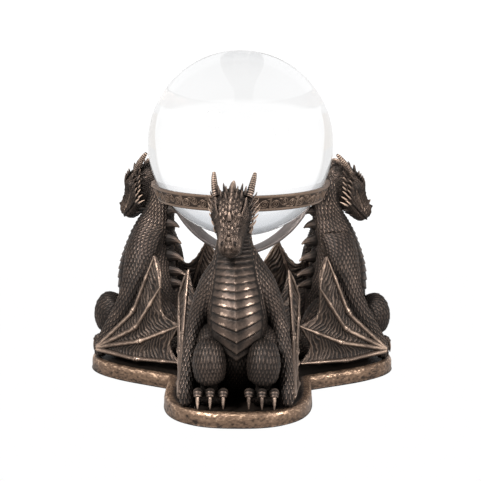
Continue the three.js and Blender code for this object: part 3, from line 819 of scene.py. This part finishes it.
def spike(base, tip, radius, sag=(0, 0, 0), bright=0.8):
    """A thorn from a root to a tip [side, out, up], bent by sag in its middle."""
    base, tip, sag = (np.asarray(v, float) for v in (base, tip, sag))
    rows = []
    for share, size in ((0, 1.0), (0.35, 0.9), (0.7, 0.55), (1, 0.14)):
        spot = base + (tip - base) * share + sag * 4 * share * (1 - share)
        rows.append((*spot, radius * size, radius * size))
    way = unit(tip - base)
    across = (0, 0, 1) if abs(way[0]) > 0.8 else (1, 0, 0)
    bar = Sweep(rows, 0.3, 20, across=across, round_end=0.5)
    grain = 0.5 + 0.5 * np.cos(bar.angle * 5)
    relief = bright * (0.45 + 0.55 * (bar.arc / bar.length)[:, None]) * (0.8 + 0.2 * grain)
    return Clay().tube(bar.displaced(0.1 * radius * grain), relief)


def thorn(root, tip, radius, **look):
    """A spike on the head; its root and tip are given as for head_point."""
    return spike(head_point(*root), head_point(*tip), radius, **look)


def head_side():
    """What the head has on its +side: horn, eye, thorns over brow and scalp, and two rows on the cheek."""
    clay = Clay()
    horn = Sweep([
        (9.0, 70.5, 124.6, 2.0, 2.0),
        (9.8, 68.6, 127.6, 1.75, 1.7),
        (10.6, 65.6, 131.2, 1.5, 1.45),
        (11.2, 62.6, 134.4, 1.15, 1.1),
        (11.5, 60.2, 136.7, 0.6, 0.6),
    ], 0.2, 48, round_end=0.6)
    rings = ripple(horn.arc / 1.4)[:, None]
    fade = smooth(0, 4, horn.arc)[:, None]
    clay.tube(horn.displaced(0.35 * rings * fade), 0.12 + 0.6 * rings)
    # Two rows of cheek thorns, by their tips, with how far back their roots are
    outer = [(-4.4, 6.6, 11.6), (-3.6, 3.6, 13.0), (-1.2, 1.2, 14.0), (0.8, -1.2, 14.4), (2.8, -3.2, 14.4),
             (5.4, -4.8, 13.8), (7.8, -7.2, 12.4), (10.4, -9.6, 10.4)]
    inner = [(2.6, 6.4, 11.0), (4.0, 3.6, 11.9), (5.6, 1.0, 12.3), (7.6, -1.4, 12.3), (9.8, -3.8, 11.4),
             (12.4, -6.2, 10.2)]
    for tips, back, slope, rise, radius, sag, lowest, rubbed in (
            (outer, 6.4, 0.8, 0.8, 0.7, 0.8, -6, (1.25, 0.8, 0.5)),
            (inner, 5.4, 0.88, 0.5, 0.65, 0.6, -5, (1.2, 0.85, 0.5))):
        for along, over, out in tips:
            root = (along + back, over * slope + rise, 9.0)
            bright = np.interp(over, (lowest, 2, 6), rubbed)
            clay.add(thorn(root, (along, over, out), radius, sag=(sag, 0, 0), bright=bright))
    for along in np.arange(15.5, 5.5, -2.1):
        line = np.interp(along, *BROW_LINE)
        rise = np.interp(along, (5, 12, 16, 21), (12.4, 12.6, 11.6, 8.4))
        size = np.interp(along, (5, 14, 21), (0.75, 0.7, 0.5))
        root = (along + 1.2, rise - 1.6, line - 0.3)
        clay.add(thorn(root, (along - 1.2, rise + 0.6, line + 0.3), size, bright=0.6))
    scalp = [(3.6, 13.6, 5.6), (-0.4, 11.8, 7.4), (0.4, 13.0, 3.0), (5.4, 14.6, 2.9), (-3.6, 9.4, 5.0)]
    for along, over, out in scalp:
        root = (along + 2.4, over - 2.8, out - 0.4)
        clay.add(thorn(root, (along - 1.8, over, out + 0.4), 0.85, bright=0.5))
    eye = Sweep([
        (*head_point(15.4, 4.4, 6.4), 0.5, 0.5), (*head_point(14.6, 4.6, 6.8), 1.3, 1.2),
        (*head_point(13, 4.8, 7.1), 1.75, 1.5), (*head_point(11.4, 5.0, 7.1), 1.3, 1.2),
        (*head_point(10.6, 5.1, 7.0), 0.5, 0.5)], 0.2, 24)
    slit = bump(eye.arc / eye.length - 0.5, 0.09)[:, None]
    clay.tube(eye.displaced(-0.15 * slit), 0.6 - 0.5 * slit)
    for over, lift in ((6.3, 1.0), (3.3, -0.8)):
        lid = Sweep([
            (*head_point(16.4, over - lift, 6.0), 0.3, 0.3),
            (*head_point(14.6, over, 7.0), 0.5, 0.45),
            (*head_point(11.8, over + 0.3 * lift, 7.5), 0.5, 0.45),
            (*head_point(9.6, over - 0.8 * lift, 7.6), 0.3, 0.3),
        ], 0.2, 20)
        folds = ripple(lid.arc / 1.1)[:, None]
        clay.tube(lid.displaced(0.15 * folds), 0.25 + 0.35 * folds)
    return clay


def head_middle():
    """The crest behind the head, and the knobs along the middle of the face."""
    clay = Clay()
    clay.add(thorn((3.5, 8, 0), (-8.3, 7.2, 0), 2.3, sag=(0, 0.6, 1.2), bright=0.9))
    for along, over, radius in ((5.2, 12.6, 1.5), (9.5, 13.6, 1.5), (13.6, 14.3, 1.5), (18.0, 13.6, 1.4)):
        clay.add(thorn((along + 1.6, over - 3, 0), (along - 2.3, over, 0), radius, bright=0.8))
    for along, over in ((22.5, 10.2), (25.8, 9.0)):
        clay.add(thorn((along + 0.8, over - 2.4, 0), (along - 0.4, over - 0.2, 0), 0.9, bright=0.9))
    clay.add(thorn((29.4, 5.0, 0), (29.6, 9.4, 0), 1.5, bright=0.9))
    return clay


def chin():
    """Small thorns under the jaw."""
    clay = Clay()
    for out in (0, 2.4, -2.4):
        clay.add(thorn((28, -5, out), (24.4, -8, out * 1.25), 0.9, bright=0.6))
        clay.add(thorn((22, -6.6, out * 1.4), (18, -9.9, out * 1.8), 1.0, bright=0.6))
    return clay


def mirrored(half):
    """Both halves of a casting made for the +side."""
    return Clay().add(half).add(half, mirror=True)


def turned_head(clay):
    """The head leans to one side and turns a little about the upright line through the skull's back."""
    cos, sin = math.cos(HEAD_TURN), math.sin(HEAD_TURN)
    placed = []
    for points in clay.points:
        side, forward, up = points[:, 0], points[:, 1] - SKULL_BACK[0], points[:, 2]
        aside = side * cos - forward * sin + HEAD_LEAN
        outwards = SKULL_BACK[0] + side * sin + forward * cos
        placed.append(np.stack([aside, outwards, up], -1))
    clay.points = placed
    return clay


def head():
    return turned_head(skull().add(mirrored(head_side())).add(head_middle()).add(chin()))


# ---- the folded wings

WRIST = (31, 85, 16.4)
# Each bone of the wing: its root, its knuckle and its tip
FINGERS = [
    (WRIST, (31, 57.2, 42), (28.6, 42.8, 78)),
    (WRIST, (33, 54.2, 33), (34.8, 34.4, 61)),
    (WRIST, (33.2, 52, 24.7), (33, 21.8, 38.6)),
    ((31, 85, 15), (33.8, 56.8, 13.4), (33.4, 22, 15.6)),
]
ARM_TO_BACK = [WRIST, (27, 74, 34), (23, 66, 50), (18, 60, 63), (13.4, 54, 66)]
SCALLOPS = (0.2, -0.02, 0.13, 0.12)
ARM = [
    (27.6, 85.6, 9.8, 2.8, 3.0),
    (27.9, 84, 17, 3.6, 4.0),
    (27.2, 77.4, 28, 3.6, 4.5),
    (25.6, 69.4, 41, 3.9, 5.3),
    (22.6, 64.7, 54, 4.6, 6.6),
    (18.2, 63.2, 65.5, 6.0, 8.6),
    (13.4, 63.4, 75, 7.0, 9.4),
    (8.8, 62.4, 83, 6.2, 8.6),
    (5.0, 61, 91, 3.6, 6.0),
]


def finger_line(points, reach):
    """A bone straight on both sides of its knuckle, with a short bend there; reach goes from 0 to 1."""
    root, knuckle, tip = np.asarray(points, float)
    total = 0
    for shift in np.linspace(-0.05, 0.05, 5):
        share = 2 * (np.asarray(reach)[..., None] + shift)
        total = total + root + (knuckle - root) * np.minimum(share, 1)
        total = total + (tip - knuckle) * np.maximum(share - 1, 0)
    return total / 5


def wing_edge(number, reach):
    """A point on the edge the skin hangs from: number 0 is the arm, and 1 to 4 are the bones."""
    return finger_line(FINGERS[number - 1], reach) if number else spline(ARM_TO_BACK, reach)


def wing_skin():
    """Four spans of thin wrinkled skin from the arm to the last bone, each scalloped at its free edge."""
    clay = Clay()
    u = np.linspace(0.06, 1, 110)[:, None]
    for span, scallop in enumerate(SCALLOPS):
        share = np.linspace(0, 1, 70 if span < 3 else 50)[None, :]
        arch = np.sin(math.pi * share)
        reach = u * (1 - scallop * arch)
        first, second = wing_edge(span, reach), wing_edge(span + 1, reach)
        middle = first * (1 - share[..., None]) + second * share[..., None]
        normal = unit(np.cross(np.gradient(middle, axis=0), np.gradient(middle, axis=1)))
        gap = np.linalg.norm(second - first, axis=-1)
        sag = arch * np.clip(gap, 0, 16) * 0.09
        length = 62 * reach
        wander = rough_noise(middle, 8.0, 31 + span) - 0.5
        beat = length / 2.4 + 3.4 * wander + 0.9 * arch
        fold = ripple(beat) ** 2
        strength = 0.25 + 0.9 * rough_noise(middle, 7.0, 41 + span) ** 1.5 + 0.3 * smooth(0.6, 1.0, u)
        fold = fold * strength * np.sin(math.pi * np.clip(share, 0.03, 0.97)) ** 0.5
        grain = rough_noise(middle, 1.6, 45 + span, 2)
        height = 1.0 * fold - sag + 0.25 * grain
        edge_fade = 0.35 + 0.25 * smooth(0.9, 1.0, u)
        front = middle + normal * (height + 0.5 * edge_fade)[..., None]
        back = middle + normal * (0.8 * height - sag * 0.2 - 0.5 * edge_fade - 0.3)[..., None]
        clay.sheet(front, back, 0.08 + 0.5 * fold + 0.14 * grain + 0.3 * smooth(0.95, 1.0, u))
    return clay


def wing_bones():
    """The four jointed bones, and the thin edge from the first tip to the second."""
    clay = Clay()
    for number, points in enumerate(FINGERS):
        reach = np.linspace(0, 1, 21)
        size = np.interp(reach, (0, 0.3, 0.5, 0.8, 1), (1.9, 1.55, 1.45, 1.2, 0.7))
        bar = Sweep(np.column_stack([finger_line(points, reach), size, size]), 0.3, 26, round_end=0.8)
        reach = bar.arc / bar.length
        joint_at = (0.5, 0.5, 0.52, 0.5)[number]
        knuckle = bump((reach - joint_at) * bar.length, 1.9) + 0.5 * bump((reach - 0.8) * bar.length, 1.6)
        split = bump((reach - joint_at) * bar.length, 0.45)
        grain = 0.5 + 0.5 * np.cos(bar.angle * 4 + 0.4 * np.sin(bar.arc)[:, None])
        height = (0.75 * knuckle - 0.45 * split)[:, None] + 0.08 * grain
        rubbed = 0.52 + 0.24 * grain + (0.15 * knuckle - 0.35 * split)[:, None]
        clay.tube(bar.displaced(height), rubbed)
    share = np.linspace(0, 1, 12)[:, None]
    tips = (1 - share) * finger_line(FINGERS[0], 0.99) + share * finger_line(FINGERS[1], 0.99)
    tips = tips + np.sin(math.pi * share) * [0.3, -0.8, 0.2]
    thick = np.full((12, 1), 0.8)
    edge = Sweep(np.hstack([tips, thick, thick]), 0.3, 20, round_start=0.5, round_end=0.5)
    grain = rough_noise(edge.surface(), 1.5, 49)
    clay.tube(edge.displaced(0.3 * grain), 0.4 + 0.45 * grain)
    return clay


def arm_bar():
    return Sweep(ARM, 0.4, 120, round_start=2.5)


def wing_arm():
    bar = arm_bar()
    pattern = skin(bar, size=1.1, seed=12)
    swell = fillet(Sweep(TRUNK, 0.8, 8).clearance(bar.surface()), 7)
    return Clay().tube(bar.displaced(SCALE_RISE * pattern + swell), 0.85 * worn_scales(pattern))


# ---- the ring, hub and straps

RING_TOP, RING_BOTTOM = RING_HIGH[2], RING_LOW[2]
RING_TOP_RADIUS = RING_HIGH[1]
RING_BOTTOM_RADIUS = RING_TOP_RADIUS - 4.2
BALL_RADIUS = (BALL_HIGH[2] - BALL_LOW[2]) / 2
BALL_CENTRE = (BALL_HIGH[2] + BALL_LOW[2]) / 2
RING_MEAN_RADIUS = 51.3
BORDER = 1.5
PANELS = 18
OUTER_ROWS, INNER_ROWS = 44, 8


def scrollwork(x, y, length, tall):
    """Engraved scrolls in one panel, 0 to 1: a waving stem with a curl in each bend, and small leaves."""
    bends = 3
    wave = 2 * math.pi * bends / 2 * x / length
    stem = bump(y - 0.5 * tall - 0.24 * tall * np.sin(wave), 0.28)
    best = stem
    for k in range(bends):
        centre_x = length * (k + 0.5) / bends
        centre_y = tall * (0.5 + (0.1 if k % 2 else -0.1))
        dx, dy = x - centre_x, (y - centre_y) * (1 if k % 2 else -1)
        distance = np.hypot(dx, dy)
        turn = np.arctan2(dy, dx) / (2 * math.pi)
        pitch = 1.15
        curl = (distance / pitch - turn) % 1 - 0.5
        line = bump(curl * pitch, 0.27) * (1 - smooth(2.0, 2.6, distance))
        best = np.maximum(best, line)
        for sign in (-1, 1):
            leaf_x = centre_x + sign * length / bends * 0.46
            leaf_y = tall * (0.5 + (0.36 if (k + (sign > 0)) % 2 else -0.36))
            leaf = hump((x - leaf_x) / 1.0, (y - leaf_y) / 0.42)
            best = np.maximum(best, 0.9 * leaf)
    return np.clip(best, 0, 1)


def ring():
    """The flared band: two plain borders with scroll panels sunk between them, and small plain blocks."""
    columns = 1500
    turn = np.linspace(-math.pi, math.pi, columns, endpoint=False) + 0.05
    tall = RING_TOP - RING_BOTTOM
    outer_share = np.linspace(0, 1, OUTER_ROWS)
    outer_radius = RING_BOTTOM_RADIUS + outer_share * (RING_TOP_RADIUS - RING_BOTTOM_RADIUS)
    outer_up = RING_BOTTOM + outer_share * tall
    inner_up = np.linspace(RING_TOP - 0.15, RING_BOTTOM + 0.15, INNER_ROWS)
    inner_radius = np.sqrt((BALL_RADIUS + 0.45) ** 2 - (BALL_CENTRE - inner_up) ** 2)
    grid = (OUTER_ROWS + INNER_ROWS, columns)
    radius = np.broadcast_to(np.concatenate([outer_radius, inner_radius])[:, None], grid)
    up = np.broadcast_to(np.concatenate([outer_up, inner_up])[:, None], grid)
    arc = turn[None, :] * RING_MEAN_RADIUS
    pitch = 2 * math.pi * RING_MEAN_RADIUS / PANELS
    x = arc % pitch
    y = (up - RING_BOTTOM) - BORDER
    inner_tall = tall - 2 * BORDER
    bar_width = 1.3
    in_panel = smooth(0.0, 0.25, y) * smooth(0.0, 0.25, inner_tall - y)
    in_panel = in_panel * smooth(bar_width, bar_width + 0.3, x)
    pattern = scrollwork(x - bar_width, y, pitch - bar_width, inner_tall)
    from_edge = np.minimum(y + BORDER, tall - y - BORDER) / BORDER
    border = 1 - ripple(np.clip(from_edge, 0, 1))
    outside = np.concatenate([np.ones(OUTER_ROWS), np.zeros(INNER_ROWS)])[:, None]
    depth = outside * (in_panel * (-0.55 + 0.55 * pattern) - (1 - in_panel) * 0.1 * (1 - border))
    ends = -0.2 * outside * bump(np.minimum(up - RING_BOTTOM, RING_TOP - up), 0.2)
    wear = 0.06 * (rough_noise(stacked(arc, up), 5.0, 51) - 0.5) * outside
    radius = radius + depth + ends + wear
    relief = in_panel * (0.08 + 0.62 * pattern) + (1 - in_panel) * (0.34 + 0.15 * border)
    points = stacked(radius * np.sin(turn), radius * np.cos(turn), up)
    points = np.concatenate([points, points[:1]], axis=0)
    relief = np.concatenate([relief * outside + 0.2 * (1 - outside), relief[:1]], axis=0)
    return Clay().tube(points, relief, close=False)


STRAP_WIDTH, STRAP_THICKNESS = STRAP_HIGH[0] - STRAP_LOW[0], 2.4
STRAP_ARC_RADIUS = 53.8
STRAP_ARC_CENTRE = HUB_LOW[2] + 0.7 + STRAP_ARC_RADIUS


def strap():
    """A bent flat strap with rounded edges and a soft ridge along its middle, from the hub to the ring."""
    slope_start = math.asin(4.8 / STRAP_ARC_RADIUS)
    slope_end = math.asin(47.4 / STRAP_ARC_RADIUS)
    stations = []
    for slope in np.linspace(slope_start, slope_end, 12):
        radius = STRAP_ARC_RADIUS - STRAP_THICKNESS / 2
        stations.append((0, radius * math.sin(slope), STRAP_ARC_CENTRE - radius * math.cos(slope),
                         STRAP_WIDTH / 2, STRAP_THICKNESS / 2))
    bar = Sweep(stations, 0.6, 64)
    ridge = bump(np.sin(bar.angle) * STRAP_WIDTH / 2, 0.7) * 0.1
    drag = 0.06 * rough_noise(bar.surface(0.45) * [1.5, 0.3, 0.3], 1.6, 61)
    points = bar.displaced(ridge + drag, squareness=0.45)
    return Clay().tube(points, 0.55 + 2.5 * drag)


def hub():
    """The domed disc in which the straps meet."""
    low, high, wide = HUB_LOW[2], HUB_HIGH[2], HUB_HIGH[0]
    profile = [(0.05, low + 0.1), (2.5, low), (wide - 0.8, low + 0.25), (wide, low + 1.1), (wide, high - 0.8),
               (wide - 0.5, high - 0.1), (2.5, high), (0.05, high)]
    line = spline(profile, np.linspace(0, 1, 60))
    points = turned(np.maximum(line[:, :1], 0.02), line[:, 1:], 72)
    return Clay().tube(points, 0.5 + 0.1 * noise(points, 1.5, 71))


# ---- the base and felt

LOBE_LENGTH, LOBE_HALF_WIDTH, LOBE_END = -BASE_LOW[1], 42.7, 52.0
LOBE_SQUARENESS = 2 / 2.6
BASE_BOTTOM, BASE_TOP = BASE_LOW[2], BASE_HIGH[2]
FELT_INSET = LOBE_LENGTH + FELT_LOW[1]


def trefoil(count):
    """The outline of the base, evenly spaced, as (side, out), with its outward normals."""
    corner = LOBE_HALF_WIDTH / math.tan(math.pi / 3)
    turn = np.linspace(-math.pi / 2, math.pi / 2, 120)
    side = np.sign(turn) * np.abs(np.sin(turn)) ** LOBE_SQUARENESS
    out = np.abs(np.cos(turn)) ** LOBE_SQUARENESS
    end = np.stack([LOBE_HALF_WIDTH * side, LOBE_LENGTH - LOBE_END + LOBE_END * out], -1)
    lobe = np.concatenate([[(-LOBE_HALF_WIDTH, corner)], end])
    outline = []
    for k in range(3):
        angle = -2 * math.pi * k / 3
        spin = np.array([[math.cos(angle), -math.sin(angle)], [math.sin(angle), math.cos(angle)]])
        outline.append(lobe @ spin.T)
    outline = np.concatenate(outline)
    closed = np.vstack([outline, outline[:1]])
    length = np.concatenate([[0], np.cumsum(np.linalg.norm(np.diff(closed, axis=0), axis=1))])
    at = np.linspace(0, length[-1], count, endpoint=False)
    even = np.stack([np.interp(at, length, closed[:, k]) for k in (0, 1)], -1)
    along = np.roll(even, -3, axis=0) - np.roll(even, 3, axis=0)
    normal = unit(np.stack([-along[:, 1], along[:, 0]], -1))
    return even, normal, at


def base():
    even, normal, at = trefoil(1800)
    low = BASE_BOTTOM
    # Inset and height down the rim's section, from the underside's edge over the top to the sunk floor
    section = [
        (6, low), (0.5, low), (0.05, low + 0.6), (0, low + 3.4),
        (0.2, BASE_TOP - 2.4), (1.2, BASE_TOP - 0.6), (2.9, BASE_TOP), (4.9, BASE_TOP - 0.15),
        (6.4, BASE_TOP - 0.9), (8.5, BASE_TOP - 1.25), (12, BASE_TOP - 1.3),
    ]
    line = spline(section, np.linspace(0, 1, 64))
    inset, up = line[:, :1], line[:, 1:]
    place = even[None] - normal[None] * inset[..., None]
    points = np.concatenate([place, np.broadcast_to(up, place.shape[:2])[..., None]], axis=-1)
    around = surface_normals(points)
    rough = rough_noise(points, 6.0, 81, 3)
    down = np.concatenate([[0], np.cumsum(np.hypot(np.diff(inset[:, 0]), np.diff(up[:, 0])))])[:, None]
    fine = rough_noise(stacked(at / 2.0, down), 0.8, 85, 2)
    on_rim = smooth(11, 6, inset) * smooth(low - 0.1, low + 1.0, up)
    height = (0.45 * (rough - 0.5) + 0.25 * (fine - 0.5)) * on_rim - 0.35 * on_rim
    points = points + around * height[..., None]
    worn = 0.35 * (rough - 0.5) + 0.9 * (fine - 0.5) + 0.56
    # painted highlight: the colour is lighter along the top of the rim
    worn = worn + 0.12 * smooth(BASE_TOP - 2.5, BASE_TOP - 0.6, up)
    relief = on_rim * worn * smooth(7.5, 5, inset)
    under = [points[0] * [share, share, 1] for share in (0.04, 0.4, 0.8)]
    floor = [points[-1] * [share, share, 1] for share in (0.75, 0.5, 0.25, 0.04)]
    points = np.concatenate([under, points, floor])
    relief = np.pad(relief, ((len(under), len(floor)), (0, 0)))
    return Clay().tube(points, relief)


def felt():
    even, normal, at = trefoil(700)
    rows = []
    low, high, edge = FELT_LOW[2], FELT_HIGH[2], FELT_INSET
    for inset, up in ((None, low), (edge + 0.4, low), (edge + 0.05, low + 0.1), (edge, low + 0.5),
                      (edge + 0.05, high - 0.05), (edge + 0.4, high), (None, high)):
        place = even * 0.02 if inset is None else even - normal * inset
        rows.append(np.concatenate([place, np.full((len(at), 1), up)], axis=-1))
    return Clay().tube(np.array(rows), 0.3)


def glass_ball():
    lift = np.linspace(-math.pi / 2, math.pi / 2, 130)[1:-1, None]
    points = turned(BALL_RADIUS * np.cos(lift), BALL_CENTRE + BALL_RADIUS * np.sin(lift), 240)
    clay = Clay().tube(points, 0.5)
    for middle, end in ((-2, -1), (-1, 1)):
        clay.points[middle][...] = [0, 0, BALL_CENTRE + end * BALL_RADIUS]
    return clay


# ---- putting it together

camera()
studio()
dragon_pieces("body", trunk().add(spine_fins()), DRAGON_SKIN, "body")
dragon_pieces("legs", mirrored(hind_leg()), DRAGON_SKIN, "body")
dragon_pieces("head", head(), HEAD_SKIN, "head")
dragon_pieces("tail", tail(), DRAGON_SKIN, "tail")
for name, clay, material, slot_name in (
        ("wing", wing_skin().add(wing_bones()), WING_SKIN, "wing_bronze"),
        ("arm", wing_arm(), DRAGON_SKIN, "dragon_bronze")):
    for hand in ("left", "right"):
        half = Clay().add(clay, mirror=hand == "right")
        dragon_pieces(f"{name}_{hand}", half, material, f"wing_{hand}")
piece("ring", ring().mesh("ring"), RING_METAL, nodes=["cradle_ring"])
piece("hub", hub().mesh("hub"), STRAP_METAL, nodes=["cradle_hub"])
strap_mesh = strap().mesh("strap")
for where, turn in DRAGONS.items():
    cad_node = f"cradle_strap_{where}"
    piece(f"strap_{where}", strap_mesh, STRAP_METAL, nodes=[cad_node], turn=turn)
piece("base", base().mesh("base"), RIM_METAL, nodes=["base_plinth"])
piece("felt", felt().mesh("felt"), felt_material(), nodes=["felt_sheet"])
ball_mesh = glass_ball().mesh("ball")
ball = piece("ball", ball_mesh, glass_material(), body="ball", nodes=["crystal_ball"])
ball.visible_shadow = False
